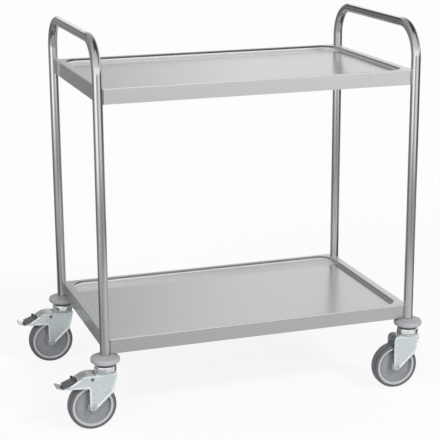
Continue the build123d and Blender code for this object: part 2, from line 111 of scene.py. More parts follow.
class Slot(Enum):
    """Finishes of the cart, by the names that the record gives them."""

    POLISHED_TUBE = "polished_tube"
    SATIN_SHEET = "satin_sheet"
    WELD_METAL = "weld_metal"
    BRIGHT_ZINC = "bright_zinc"
    PLAIN_STEEL = "plain_steel"
    BUMPER_PLASTIC = "bumper_plastic"
    RIM_PLASTIC = "rim_plastic"
    BUSH_PLASTIC = "bush_plastic"
    GREY_TYRE = "grey_tyre"
    BLACK_TREAD = "black_tread"


class Coordinates(Enum):
    """Where a pattern takes its place from, by the name of Texture Coordinate's output."""

    OBJECT = "Object"
    UV = "UV"


class Ends(Enum):
    """What happens at the first and last ring of a grid."""

    JOINED = "joined"
    CAPPED = "capped"
    OPEN = "open"


class Socket:
    """A node's output. Sums, differences and products of values add Math nodes."""

    def __init__(self, shader: Shader, output: bpy.types.NodeSocket | None) -> None:
        """Keep the output and the shader that it belongs to."""
        self.shader = shader
        self.output = output

    def math(self, operation: str, first: Value, second: Value = 0.0) -> Socket:
        """Result of a Math node of this operation on one value or two."""
        return self.shader.node("ShaderNodeMath", {"operation": operation}, {0: first, 1: second})

    def __add__(self, other: Value) -> Socket:
        """Sum of two values."""
        return self.math("ADD", self, other)

    def __sub__(self, other: Value) -> Socket:
        """Difference of two values."""
        return self.math("SUBTRACT", self, other)

    def __rsub__(self, other: Value) -> Socket:
        """Difference of a number and a value."""
        return self.math("SUBTRACT", other, self)

    def __mul__(self, other: Value) -> Socket:
        """Product of two values."""
        return self.math("MULTIPLY", self, other)

    def __abs__(self) -> Socket:
        """Size of a value, whatever its sign."""
        return self.math("ABSOLUTE", self)

    def larger(self, other: Value) -> Socket:
        """The larger of two values."""
        return self.math("MAXIMUM", self, other)

    __radd__ = __add__
    __rmul__ = __mul__


class Shader:
    """A node tree in the making."""

    def __init__(self, tree: bpy.types.NodeTree) -> None:
        """Start on an emptied tree."""
        self.tree = tree
        self.tree.nodes.clear()

    @classmethod
    def for_material(cls, name: str) -> tuple[Shader, bpy.types.Material]:
        """Start a new material.

        Args:
            name: The material's name.

        Returns:
            The shader and its material.
        """
        material = bpy.data.materials.new(name)
        material.use_nodes = True
        return cls(material.node_tree), material

    def node(
        self,
        kind: str,
        settings: Mapping[str, object] | None = None,
        inputs: Mapping[int | str, Value] | None = None,
        output: int | str = 0,
    ) -> Socket:
        """Add any node.

        Args:
            kind: The node's type.
            settings: Its properties, set first. "stops" are a ramp's places and colours.
            inputs: Values or links of its sockets, by name or number.
            output: The output that is wanted.

        Returns:
            That output.
        """
        made = self.tree.nodes.new(kind)
        for key, setting in (settings or {}).items():
            if key == "stops":
                self._set_stops(made.color_ramp, setting)
            else:
                setattr(made, key, setting)
        for key, value in (inputs or {}).items():
            if isinstance(value, Socket):
                self.tree.links.new(value.output, made.inputs[key])
            elif isinstance(value, (tuple, list)) and len(made.inputs[key].default_value) == 4:
                made.inputs[key].default_value = (*value[:3], 1.0)
            else:
                made.inputs[key].default_value = value
        return Socket(self, made.outputs[output] if len(made.outputs) else None)

    @staticmethod
    def _set_stops(ramp: bpy.types.ColorRamp, stops: Sequence[Pair]) -> None:
        """Give a ramp its stops.

        Args:
            ramp: The ramp, which starts with two stops.
            stops: Place and grey level of each, in order.
        """
        for place, _ in stops[2:]:
            ramp.elements.new(place)
        for element, (place, level) in zip(ramp.elements, stops):
            element.position = place
            element.color = (level, level, level, 1.0)

    def place(self, coordinates: Coordinates, scale: Sequence[float] = (1, 1, 1)) -> Socket:
        """Coordinates for a pattern, multiplied axis by axis."""
        raw = self.node("ShaderNodeTexCoord", output=coordinates.value)
        return self.node("ShaderNodeMapping", inputs={"Vector": raw, "Scale": tuple(scale)})

    def axes(self, coordinates: Coordinates, names: str) -> list[Socket]:
        """Single axes of the coordinates, by their letters."""
        place = self.place(coordinates)
        return [self.node("ShaderNodeSeparateXYZ", None, {0: place}, name) for name in names]

    def noise(self, vector: Socket, detail: float = 2.0, scale: float = 1.0) -> Socket:
        """Cloudy noise about 0.5, with finer layers as its detail and clouds per unit as its scale."""
        return self.node("ShaderNodeTexNoise", None, {"Vector": vector, "Scale": scale, "Detail": detail})

    def clouds(self, size: float, detail: float = 3.0) -> Socket:
        """Cloudy noise by the object's own coordinates, with clouds of this size."""
        return self.noise(self.place(Coordinates.OBJECT), detail, 1 / size)

    def spread(self, value: Value, source: Pair, target: Pair = RISING) -> Socket:
        """Map a value smoothly from a source range to a target range, and hold it at both ends."""
        inputs = dict(zip(("Value", "From Min", "From Max", "To Min", "To Max"), (value, *source, *target)))
        return self.node("ShaderNodeMapRange", {"interpolation_type": "SMOOTHSTEP"}, inputs)

    def blend(self, share: Value, first: Value, second: Value) -> Socket:
        """Mix two colours, by the share of the second."""
        return self.node("ShaderNodeMix", {"data_type": "RGBA"}, {0: share, 6: first, 7: second}, 2)

    def uneven(self, level: Value, *swings: tuple[float, Socket]) -> Value:
        """Let noises move a level.

        Args:
            level: The value where every noise is at its middle.
            swings: How far each noise moves it, and the noise.

        Returns:
            The uneven value.
        """
        total = level
        for swing, noise in swings:
            total = total + swing * (noise - NOISE_MIDDLE)
        return total

    def rounded_edges(self, radius: float) -> Socket:
        """Normal that rounds off sharp edges by a small radius."""
        return self.node("ShaderNodeBevel", {"samples": BEVEL_SAMPLES}, {"Radius": radius})

    def edge_wear(self, soft: Socket, gain: float) -> Socket:
        """Mask of the edges that wear, where the rounded normal leaves the flat one.

        Args:
            soft: Normal from rounded_edges.
            gain: How fast the mask grows.

        Returns:
            Mask from 0 to 1.
        """
        flat = self.node("ShaderNodeNewGeometry", output="Normal")
        inputs = {0: soft, 1: flat}
        likeness = self.node("ShaderNodeVectorMath", {"operation": "DOT_PRODUCT"}, inputs, "Value")
        return self.spread((1 - likeness) * gain, RISING)

    def relief(self, height: Socket, depth: float, normal: Socket | None = None) -> Socket:
        """Normal bumped by a height from 0 to 1 of this depth, on the surface's own normal or another."""
        inputs = {"Height": height, "Distance": depth} | ({} if normal is None else {"Normal": normal})
        return self.node("ShaderNodeBump", None, inputs)

    def surface(self, inputs: Mapping[str, Value]) -> None:
        """Close a material with a Principled shader of these inputs."""
        shader = self.node("ShaderNodeBsdfPrincipled", None, inputs)
        self.node("ShaderNodeOutputMaterial", None, {"Surface": shader})


@dataclass(frozen=True)
class Box:
    """A CAD node's box at rest."""

    low: np.ndarray
    high: np.ndarray

    @classmethod
    def of(cls, node: str) -> Box:
        """The box of a node."""
        low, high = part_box(node)
        return cls(np.array(low), np.array(high))

    @property
    def centre(self) -> np.ndarray:
        """Middle of the box."""
        return (self.low + self.high) / 2

    @property
    def half(self) -> np.ndarray:
        """Half of each side."""
        return (self.high - self.low) / 2


class Finish:
    """A finish, which says what feeds each socket of a Principled shader."""

    def inputs(self, shader: Shader) -> dict[str, Value]:
        """Values or links of the sockets, by name."""
        raise NotImplementedError

    def material(self, name: str) -> bpy.types.Material:
        """Make the finish's material.

        Args:
            name: The material's name.

        Returns:
            The material.
        """
        shader, material = Shader.for_material(name)
        shader.surface(self.inputs(shader))
        return material


@dataclass(frozen=True)
class SatinSheet(Finish):
    """Pressed sheet steel with a fine grain along its length, painted shade in its recess and painted
    highlights round it.

    Spans of height are above the deck. Shares are the bottom shelf's and the top shelf's.
    """

    colour: Colour = (0.545, 0.55, 0.535)
    dull: Colour = (0.49, 0.495, 0.485)
    # Painted shade of the recess's back wall.
    painted_wall_shade: Colour = (0.13, 0.13, 0.125)
    # Painted highlight of the recess's foot and of the deck's skirt along the back wall.
    painted_highlight: Colour = (0.64, 0.645, 0.63)
    # Painted highlight of the rim's long outer edges.
    wear_and_edge_highlight: Colour = (0.68, 0.685, 0.675)
    # Metal share and roughness where the sheet's painted highlights lie.
    painted_highlight_metal: float = 0.15
    roughness: float = 0.22
    painted_highlight_roughness: float = 0.50
    grain_length: float = 0.16
    grain_width: float = 0.0011
    grain_depth: float = 0.000014
    grain_swing: float = 0.10
    cloud: float = 0.16
    cloud_share: float = 0.6
    cloud_swing: float = 0.08
    margins: Pair = (0.0196, 0.0121)
    recess_depth: float = 0.010
    corner_radius: float = 0.040
    wall: Pair = (0.0042, 0.0088)
    wall_shares: Pair = (0.6, 1.0)
    foot: Pair = (0.0003, 0.0042)
    end_shares: Pair = (0.0, 0.5)
    deck: Pair = (-0.0008, 0.0003)
    skirt: float = 0.045
    skirt_fade: float = 0.036
    back_turn: float = 0.028
    end_reach: Pair = (0.012, 0.006)
    blur: float = 0.0003
    edge: Pair = (0.0074, 0.0104)
    edge_width: float = 0.0026
    edge_shares: Pair = (0.5, 0.6)

    def painted_light_masks(self, shader: Shader) -> tuple[Socket, Socket, Socket]:
        """Masks of painted shade and painted highlights on the sheet.

        Painted shade darkens the recess's back wall. A painted highlight lightens the rounded foot of its
        walls, less so at the right end, and a skirt of the deck along the back wall. The rim's long outer
        edges get a painted highlight.

        Args:
            shader: The sheet's shader.

        Returns:
            Masks of the back wall, the foot and the edge, from 0 to 1.
        """
        x, y, z = shader.axes(Coordinates.OBJECT, "XYZ")
        outer = Box.of("top_shelf").half[:2]
        recess = (outer - self.margins).tolist()
        inside = 1.0
        for axis, half in zip((x, y), recess):
            inside = shader.spread(abs(axis), (half, half + MILLIMETRE), FALLING) * inside
        front = recess[1] - self.skirt
        skirt = self.band(shader, z, self.deck) * shader.spread(y, (front - self.skirt_fade, front))
        corner = recess[1] - self.corner_radius
        back = shader.spread(y, (corner, corner + self.back_turn))
        right = (recess[0] - self.end_reach[0], recess[0] - self.end_reach[1])
        foot = self.band(shader, z, self.foot) * shader.spread(x, right, FALLING)
        foot = foot.larger(self.band(shader, z, self.foot, self.end_shares)).larger(skirt) * inside
        rim = (outer[1] - self.edge_width, outer[1] - MILLIMETRE)
        edge = self.band(shader, z, self.edge, self.edge_shares) * shader.spread(abs(y), rim)
        return self.band(shader, z, self.wall, self.wall_shares) * inside * back, foot, edge

    def band(self, shader: Shader, height: Socket, span: Pair, shares: Pair = (1.0, 1.0)) -> Socket:
        """Mask of a span of heights above each deck.

        Args:
            shader: The sheet's shader.
            height: Height above the floor.
            span: Lower and upper height above the deck.
            shares: Strength on the bottom shelf and on the top shelf.

        Returns:
            Mask from 0 to 1.
        """
        mask = 0.0
        for shelf, share in zip(("bottom_shelf", "top_shelf"), shares):
            deck = Box.of(shelf).high[2] - self.recess_depth
            low, high = (deck + edge for edge in span)
            above = shader.spread(height, (low - self.blur, low + self.blur))
            below = shader.spread(height, (high - self.blur, high + self.blur), FALLING)
            mask = share * above * below + mask
        return mask

    def inputs(self, shader: Shader) -> dict[str, Value]:
        """Grain and clouds in colour and roughness, with the grain as fine relief, and painted shade and
        highlights.

        Args:
            shader: The sheet's shader.

        Returns:
            What feeds each socket, by name.
        """
        along = (1 / self.grain_length, 1 / self.grain_width, 1 / self.grain_width)
        grain = shader.noise(shader.place(Coordinates.OBJECT, along), 3.0)
        cloud = shader.clouds(self.cloud)
        wall, foot, edge = self.painted_light_masks(shader)
        share = self.cloud_share * cloud + (1 - self.cloud_share) * grain
        tone = shader.blend(share, self.dull, self.colour)
        # Painted highlight on the recess's foot and skirt.
        tone = shader.blend(foot, tone, self.painted_highlight)
        # Painted highlight on the rim's long outer edges.
        tone = shader.blend(edge, tone, self.wear_and_edge_highlight)
        # Where the painted highlights lie, the sheet is less metallic and rougher.
        painted_highlight = foot.larger(edge)
        even = shader.uneven(self.roughness, (self.grain_swing, grain), (self.cloud_swing, cloud))
        return {
            # Painted shade on the recess's back wall.
            "Base Color": shader.blend(wall, tone, self.painted_wall_shade),
            "Metallic": 1.0 - (1.0 - self.painted_highlight_metal) * painted_highlight,
            "Roughness": even + (self.painted_highlight_roughness - self.roughness) * painted_highlight,
            "Normal": shader.relief(grain, self.grain_depth),
        }


@dataclass(frozen=True)
class PolishedTube(Finish):
    """Bright tube with the faint rings that polishing leaves round it, and painted light on the push bar.

    Painted shade darkens the bar's outer flank and a painted highlight whitens its crown. The reaches of the
    shade and the highlight are distances along the tube where that begins and where it is full, and flank
    and crown are outward shares of its direction.
    """

    colour: Colour = (0.585, 0.585, 0.575)
    dull: Colour = (0.53, 0.53, 0.52)
    # Painted shade of the bar's outer flank.
    painted_flank_shade: Colour = (0.27, 0.27, 0.265)
    # Painted highlight of the bar's crown.
    painted_highlight: Colour = (0.97, 0.97, 0.965)
    length: float = 2.04
    flank_shade_reach: Pair = (0.735, 0.805)
    flank: Pair = (-0.35, -0.15)
    crown_highlight_reach: Pair = (0.825, 0.865)
    crown: Pair = (0.74, 0.86)
    # Roughness and metal share under the crown's painted highlight.
    painted_highlight_roughness: float = 0.40
    painted_highlight_metal: float = 0.20
    roughness: float = 0.15
    ring_width: float = 0.0016
    ring_depth: float = 0.000008
    ring_swing: float = 0.06
    patches_round: float = 1.5
    cloud: float = 0.09
    cloud_share: float = 0.5
    cloud_swing: float = 0.06

    def bar_side(self, shader: Shader, reach: Pair, side: Pair) -> Socket:
        """Mask of the push bar on the side that faces out of the frame.

        Args:
            shader: The tube's shader.
            reach: Distance along the tube where the mask begins, and where it is full.
            side: Outward share of the surface's direction where it begins, and where it is full.

        Returns:
            Mask from 0 to 1.
        """
        turn, along = shader.axes(Coordinates.UV, "XY")
        outward = turn.math("SINE", 2 * math.pi * turn)
        middle = self.length / 2
        near = shader.spread(abs(along - middle), (middle - reach[0], middle - reach[1]))
        return near * shader.spread(outward, side)

    def inputs(self, shader: Shader) -> dict[str, Value]:
        """Rings along the tube's own UV map, in roughness and as relief, and painted shade and a painted
        highlight on the push bar.

        Args:
            shader: The tube's shader.

        Returns:
            What feeds each socket, by name.
        """
        rings = shader.noise(shader.place(Coordinates.UV, (self.patches_round, 1 / self.ring_width, 1.0)))
        cloud = shader.clouds(self.cloud, 2.0)
        flank = self.bar_side(shader, self.flank_shade_reach, self.flank)
        crown = self.bar_side(shader, self.crown_highlight_reach, self.crown)
        share = self.cloud_share * cloud + (1 - self.cloud_share) * rings
        tone = shader.blend(share, self.dull, self.colour)
        # Painted shade on the bar's outer flank.
        tone = shader.blend(flank, tone, self.painted_flank_shade)
        even = shader.uneven(self.roughness, (self.ring_swing, rings), (self.cloud_swing, cloud))
        return {
            # Painted highlight on the bar's crown.
            "Base Color": shader.blend(crown, tone, self.painted_highlight),
            "Metallic": 1.0 - (1.0 - self.painted_highlight_metal) * crown,
            "Roughness": even + (self.painted_highlight_roughness - self.roughness) * crown,
            "Normal": shader.relief(rings, self.ring_depth),
        }


@dataclass(frozen=True)
class PlatedSteel(Finish):
    """Pressed or turned steel with a plated, faintly clouded skin and bright edges."""

    colour: Colour
    tint: Colour
    edge: Colour
    roughness: float
    metal: float = 1.0
    edge_radius: float = 0.0008
    wear_gain: float = 6.0
    wear_polish: float = 0.08
    grain: float = 0.0015
    grain_depth: float = 0.000002
    grain_swing: float = 0.04
    cloud: float = 0.02
    cloud_range: Pair = (0.35, 0.65)
    cloud_swing: float = 0.08

    def inputs(self, shader: Shader) -> dict[str, Value]:
        """Two tones of plating in clouds, fine grain, and bright edges where the skin wears.

        Args:
            shader: The steel's shader.

        Returns:
            What feeds each socket, by name.
        """
        cloud, grain = shader.clouds(self.cloud), shader.clouds(self.grain, 2.0)
        soft = shader.rounded_edges(self.edge_radius)
        wear = shader.edge_wear(soft, self.wear_gain)
        tone = shader.blend(shader.spread(cloud, self.cloud_range), self.colour, self.tint)
        even = shader.uneven(self.roughness, (self.cloud_swing, cloud), (self.grain_swing, grain))
        return {
            "Base Color": shader.blend(wear, tone, self.edge),
            "Metallic": self.metal,
            "Roughness": even - self.wear_polish * wear,
            "Normal": shader.relief(grain, self.grain_depth, soft),
        }


@dataclass(frozen=True)
class WeldMetal(Finish):
    """Dressed weld with faint straw and blue heat colours."""

    colour: Colour = (0.34, 0.34, 0.335)
    straw: Colour = (0.29, 0.275, 0.24)
    roughness: float = 0.22
    cloud: float = 0.004
    cloud_depth: float = 0.00005
    cloud_swing: float = 0.16
    heat_range: Pair = (0.4, 0.7)
    heat_share: float = 0.6

    def inputs(self, shader: Shader) -> dict[str, Value]:
        """Heat colours in clouds, on a lightly uneven surface.

        Args:
            shader: The weld's shader.

        Returns:
            What feeds each socket, by name.
        """
        cloud = shader.clouds(self.cloud)
        heat = shader.spread(cloud, self.heat_range, (0.0, self.heat_share))
        return {
            "Base Color": shader.blend(heat, self.colour, self.straw),
            "Metallic": 1.0,
            "Roughness": shader.uneven(self.roughness, (self.cloud_swing, cloud)),
            "Normal": shader.relief(cloud, self.cloud_depth),
        }


@dataclass(frozen=True)
class MouldedPlastic(Finish):
    """Moulded plastic with a fine spark-eroded grain and edges that wear pale."""

    colour: Colour
    pale: Colour
    roughness: float
    edge_radius: float = 0.0006
    wear_gain: float = 4.0
    wear_share: float = 0.6
    grain: float = 0.0009
    grain_depth: float = 0.00003
    grain_share: float = 0.15
    grain_swing: float = 0.12
    cloud: float = 0.03
    cloud_share: float = 0.35
    cloud_swing: float = 0.08

    def tone(self, shader: Shader, share: Socket) -> Socket:
        """Colour by the share of the paler tone."""
        return shader.blend(share, self.colour, self.pale)

    def inputs(self, shader: Shader) -> dict[str, Value]:
        """Grain as relief, clouds in the colour, paler edges.

        Args:
            shader: The plastic's shader.

        Returns:
            What feeds each socket, by name.
        """
        grain, cloud = shader.clouds(self.grain, 2.0), shader.clouds(self.cloud)
        soft = shader.rounded_edges(self.edge_radius)
        wear = self.wear_share * shader.edge_wear(soft, self.wear_gain)
        return {
            "Base Color": self.tone(shader, self.cloud_share * cloud + self.grain_share * grain + wear),
            "Roughness": shader.uneven(self.roughness, (self.grain_swing, grain), (self.cloud_swing, cloud)),
            "Normal": shader.relief(grain, self.grain_depth, soft),
        }


@dataclass(frozen=True)
class TyreRubber(Finish):
    """Grey rubber, dull and slightly scuffed on the tread, smoother on the side walls."""

    colour: Colour = (0.095, 0.098, 0.104)
    scuffed: Colour = (0.285, 0.288, 0.295)
    roughness: float = 0.5
    tread_roughness: float = 0.25
    tread_share: Pair = (0.35, 0.65)
    tread_fade: float = 0.06
    scuff_scale: tuple[float, float, float] = (60.0, 14.0, 1.0)
    scuff_range: Pair = (0.35, 0.7)
    scuff_shares: Pair = (0.25, 0.8)
    grain: float = 0.0011
    grain_depth: float = 0.00004
    grain_share: float = 0.2
    grain_swing: float = 0.1

    def inputs(self, shader: Shader) -> dict[str, Value]:
        """Scuffs across the tread, found by the UV map's second axis, and grain all over.

        Args:
            shader: The tyre's shader.

        Returns:
            What feeds each socket, by name.
        """
        grain = shader.clouds(self.grain)
        scuffs = shader.noise(shader.place(Coordinates.UV, self.scuff_scale), 4.0)
        (section,) = shader.axes(Coordinates.UV, "Y")
        first, last = self.tread_share
        middle, half = (first + last) / 2, (last - first) / 2
        tread = shader.spread(abs(section - middle), (half, half - self.tread_fade))
        scuffed = tread * shader.spread(scuffs, self.scuff_range, self.scuff_shares)
        share = shader.uneven(scuffed, (self.grain_share, grain))
        rough = self.roughness + self.tread_roughness * tread
        return {
            "Base Color": shader.blend(share, self.colour, self.scuffed),
            "Roughness": shader.uneven(rough, (self.grain_swing, grain)),
            "Normal": shader.relief(grain, self.grain_depth),
        }


@dataclass(frozen=True)
class WheelPlastic(MouldedPlastic):
    """Moulded rim plastic, with a painted highlight on the raised lip that carries the tyre."""

    # Painted highlight of the raised lip.
    lip: Colour = (0.42, 0.43, 0.45)
    lip_radius: float = 0.0470
    blur: float = 0.02

    def tone(self, shader: Shader, share: Socket) -> Socket:
        """Colour of web and hub, and the painted highlight of the lip.

        The lip lies further from the nearest axle than its inner radius.

        Args:
            shader: The rim's shader.
            share: The share of the paler tone.

        Returns:
            The colour.
        """
        x, z = shader.axes(Coordinates.OBJECT, "XZ")
        left, right = Box.of("front_left_tyre").centre, Box.of("front_right_tyre").centre
        middle, apart = (left + right) / 2, (right - left) / 2
        ahead = abs(x - middle[0]) - apart[0]
        above = z - middle[2]
        edge = self.lip_radius**2
        reach = (edge * (1 - self.blur), edge * (1 + self.blur))
        # Painted highlight on the lip, by distance from the nearest axle.
        lip = shader.spread(ahead * ahead + above * above, reach)
        return shader.blend(lip, super().tone(shader, share), self.lip)


@dataclass(frozen=True)
class BumperPlastic(MouldedPlastic):
    """Soft bumper plastic, with painted shade on the neck under its flange."""

    # Painted shade of the neck under the flange.
    neck: Colour = (0.10, 0.10, 0.105)
    neck_height: float = 0.0065

    def tone(self, shader: Shader, share: Socket) -> Socket:
        """Colour of flange and dome, and the painted shade of the neck below them.

        Args:
            shader: The bumper's shader.
            share: The share of the paler tone.

        Returns:
            The colour.
        """
        (height,) = shader.axes(Coordinates.OBJECT, "Z")
        flange = Box.of("front_left_bumper_disc").low[2] + self.neck_height
        # Painted shade on the neck below the flange.
        below = shader.spread(height, (flange, flange - MILLIMETRE))
        return shader.blend(below, super().tone(shader, share), self.neck)


@dataclass(frozen=True)
class RibbedRubber(Finish):
    """Tread pad of a pedal: ribs with a painted highlight, painted shade in the grooves between them, and a
    black lug.

    The bed starts at this place from the upper front corner of the pad's box, and slopes by these degrees.
    """

    # Painted shade in the grooves, then painted highlight on the ribs.
    groove: Colour = (0.085, 0.087, 0.09)
    rib: Colour = (0.165, 0.167, 0.17)
    lug: Colour = (0.012, 0.012, 0.012)
    roughness: float = 0.55
    bed: Pair = (0.00184, -0.01048)
    slope: float = 20.52
    groove_height: float = 0.00575
    rib_height: float = 0.00675
    edge_radius: float = 0.0004
    grain: float = 0.0012
    grain_depth: float = 0.00005
    grain_share: float = 0.6
    grain_swing: float = 0.2

    def inputs(self, shader: Shader) -> dict[str, Value]:
        """Tones by the height above the pad's sloping bed: painted shade in the grooves, a painted highlight
        on the ribs and the black lug, with grain in tone and relief.

        Args:
            shader: The pad's shader.

        Returns:
            What feeds each socket, by name.
        """
        grain = shader.clouds(self.grain)
        x, z = shader.axes(Coordinates.OBJECT, "XZ")
        corner, slope = Box.of("front_left_tread_pad").high, math.radians(self.slope)
        ahead, above = x - (corner[0] + self.bed[0]), z - (corner[2] + self.bed[1])
        height = above * math.cos(slope) - ahead * math.sin(slope)
        rib = shader.spread(height, (self.groove_height, self.rib_height))
        lug = shader.spread(height, (self.rib_height, self.rib_height + MILLIMETRE))
        # Painted highlight on the ribs and painted shade in the grooves.
        tone = shader.blend(rib * shader.uneven(1.0, (self.grain_share, grain)), self.groove, self.rib)
        return {
            "Base Color": shader.blend(lug, tone, self.lug),
            "Roughness": shader.uneven(self.roughness, (self.grain_swing, grain)),
            "Normal": shader.relief(grain, self.grain_depth, shader.rounded_edges(self.edge_radius)),
        }


FINISHES = {
    Slot.SATIN_SHEET: SatinSheet(),
    Slot.POLISHED_TUBE: PolishedTube(),
    Slot.WELD_METAL: WeldMetal(),
    Slot.BRIGHT_ZINC: PlatedSteel((0.53, 0.585, 0.605), (0.555, 0.60, 0.615), (0.84, 0.87, 0.88), 0.27, 0.5),
    Slot.PLAIN_STEEL: PlatedSteel((0.30, 0.30, 0.31), (0.37, 0.37, 0.37), (0.55, 0.55, 0.55), 0.30),
    Slot.BUMPER_PLASTIC: BumperPlastic((0.345, 0.35, 0.365), (0.43, 0.435, 0.445), 0.42),
    Slot.RIM_PLASTIC: WheelPlastic((0.202, 0.209, 0.229), (0.30, 0.31, 0.33), 0.45),
    Slot.BUSH_PLASTIC: MouldedPlastic((0.66, 0.65, 0.61), (0.76, 0.75, 0.71), 0.40),
    Slot.GREY_TYRE: TyreRubber(),
    Slot.BLACK_TREAD: RibbedRubber(),
}
PIECE_FINISHES = {
    "swivel_head": PlatedSteel((0.84, 0.86, 0.87), (0.88, 0.89, 0.90), (0.92, 0.93, 0.94), 0.12),
    "brake_pedal": PlatedSteel((0.70, 0.72, 0.72), (0.74, 0.76, 0.76), (0.86, 0.88, 0.89), 0.25),
    "axle_bolt": PlatedSteel((0.46, 0.49, 0.51), (0.49, 0.52, 0.54), (0.74, 0.76, 0.78), 0.25, 0.5),
    # Painted highlight: the rolled edges are the forks' zinc in a lighter colour than the cheeks.
    "rolled_edges": PlatedSteel((0.72, 0.76, 0.78), (0.75, 0.78, 0.80), (0.88, 0.90, 0.91), 0.27, 0.5),
}


@dataclass
class Grid:
    """A surface on a grid of points, closed round its columns. Its rows are rings."""

    points: np.ndarray
    ends: Ends

    def steps(self) -> tuple[np.ndarray, np.ndarray]:
        """Row and column at which each quad starts.

        Returns:
            Two arrays, of rows and of columns.
        """
        rows, columns = self.points.shape[:2]
        last = rows if self.ends is Ends.JOINED else rows - 1
        return np.meshgrid(np.arange(last), np.arange(columns), indexing="ij")

    def quads(self) -> np.ndarray:
        """Corner numbers of each quad: a point, the next in its row, and the same two in the next row.

        Returns:
            Four numbers a quad, in order round it.
        """
        rows, columns = self.points.shape[:2]
        row, column = self.steps()
        here, after = row * columns, (row + 1) % rows * columns
        beside = (column + 1) % columns
        corners = [here + column, here + beside, after + beside, after + column]
        return np.stack(corners, axis=-1).reshape(-1, 4)

    def uv(self, heights: np.ndarray) -> np.ndarray:
        """UV of each quad's corners: the share of the way round, and a height given ring by ring.

        Args:
            heights: One value a ring, and one more for the step that closes the rings.

        Returns:
            Rows of two numbers, four to a quad.
        """
        columns = self.points.shape[1]
        row, column = self.steps()
        u = np.stack([column, column + 1, column + 1, column], axis=-1) / columns
        v = heights[np.stack([row, row, row + 1, row + 1], axis=-1)]
        return np.stack([u, v], axis=-1).reshape(-1, 2)

    def volume(self, quads: np.ndarray) -> float:
        """Signed volume, summed over the cones from the origin to both triangles of each quad.

        Args:
            quads: Corner numbers of each quad.

        Returns:
            Six times the volume, below zero where the surface is inside out.
        """
        flat = self.points.reshape(-1, 3)
        a, b, c, d = (flat[quads[:, k]] for k in range(4))
        return float(np.einsum("ij,ij->i", a, np.cross(b, c) + np.cross(c, d)).sum())


def mesh_object(
    name: str, grids: Sequence[Grid], heights: Sequence[np.ndarray], crease: float = 35.0
) -> bpy.types.Object:
    """Make one object of several grids, with outward faces, UV map and smooth shading.

    Args:
        name: The object's name.
        grids: Its surfaces.
        heights: The second UV axis of each surface, ring by ring.
        crease: Edges that turn by more than this many degrees stay sharp.

    Returns:
        The object, at the origin.
    """
    vertices, faces, uvs, start = [], [], [], 0
    for grid, height in zip(grids, heights):
        quads, uv = grid.quads(), grid.uv(height)
        rows, columns = grid.points.shape[:2]
        caps = []
        if grid.ends is Ends.CAPPED:
            caps = [np.arange(columns)[::-1], np.arange(columns) + (rows - 1) * columns]
        if grid.volume(quads) < 0:
            quads = quads[:, ::-1]
            uv = uv.reshape(-1, 4, 2)[:, ::-1].reshape(-1, 2)
            caps = [cap[::-1] for cap in caps]
        faces += (quads + start).tolist() + [(cap + start).tolist() for cap in caps]
        uvs += [uv] + [np.zeros((columns, 2)) for _ in caps]
        vertices.append(grid.points.reshape(-1, 3))
        start += rows * columns
    mesh = bpy.data.meshes.new(name)
    mesh.from_pydata(np.concatenate(vertices).tolist(), [], faces)
    layer = mesh.uv_layers.new(name="surface")
    layer.data.foreach_set("uv", np.concatenate(uvs).astype(np.float32).ravel())
    mesh.polygons.foreach_set("use_smooth", np.ones(len(mesh.polygons), dtype=bool))
    mesh.set_sharp_from_angle(angle=math.radians(crease))
    made = bpy.data.objects.new(name, mesh)
    bpy.context.scene.collection.objects.link(made)
    return made


def lengths_along(route: np.ndarray) -> np.ndarray:
    """Distance of each point of a route from its start."""
    steps = np.linalg.norm(np.diff(route, axis=0), axis=1)
    return np.concatenate([[0.0], np.cumsum(steps)])


def rounded(corners: Sequence[Pair], radii: Sequence[float], steps: int, closed: bool) -> np.ndarray:
    """Flat outline whose corners are rounded by arcs that touch both sides.

    Each arc starts radius / tan(half the corner's angle) before the corner, about a centre on its bisector.

    Args:
        corners: Corner points in order.
        radii: Radius at each corner, 0 for a sharp one. An open route's ends have none.
        steps: Steps of each arc.
        closed: Whether the last corner joins the first.

    Returns:
        Points of the outline, two numbers each.
    """
    points = np.array(corners, dtype=float)
    count = len(points)
    pieces = []
    for k in range(count):
        is_end = not closed and k in (0, count - 1)
        if is_end or radii[k] == 0:
            pieces.append(points[k : k + 1])
            continue
        before = points[k - 1] - points[k]
        after = points[(k + 1) % count] - points[k]
        before, after = before / np.linalg.norm(before), after / np.linalg.norm(after)
        half = math.acos(float(np.clip(before @ after, -1, 1))) / 2
        bisector = (before + after) / np.linalg.norm(before + after)
        centre = points[k] + bisector * radii[k] / math.sin(half)
        first = points[k] + before * radii[k] / math.tan(half) - centre
        last = points[k] + after * radii[k] / math.tan(half) - centre
        turn = math.pi - 2 * half
        share = np.linspace(0.0, 1.0, steps + 1)[:, None]
        arc = (np.sin((1 - share) * turn) * first + np.sin(share * turn) * last) / math.sin(turn)
        pieces.append(centre + arc)
    return np.concatenate(pieces)


def side_directions(route: np.ndarray) -> np.ndarray:
    """Unit directions square to a flat route, to the left of its way.

    Args:
        route: Points of the route, two numbers each.

    Returns:
        One direction a point.
    """
    way = np.gradient(route, axis=0)
    way /= np.linalg.norm(way, axis=1)[:, None]
    return np.stack([-way[:, 1], way[:, 0]], axis=1)


def circle(count: int) -> tuple[np.ndarray, np.ndarray]:
    """Cosines and sines of evenly spaced angles round a circle."""
    angle = np.linspace(0.0, 2 * math.pi, count, endpoint=False)
    return np.cos(angle), np.sin(angle)


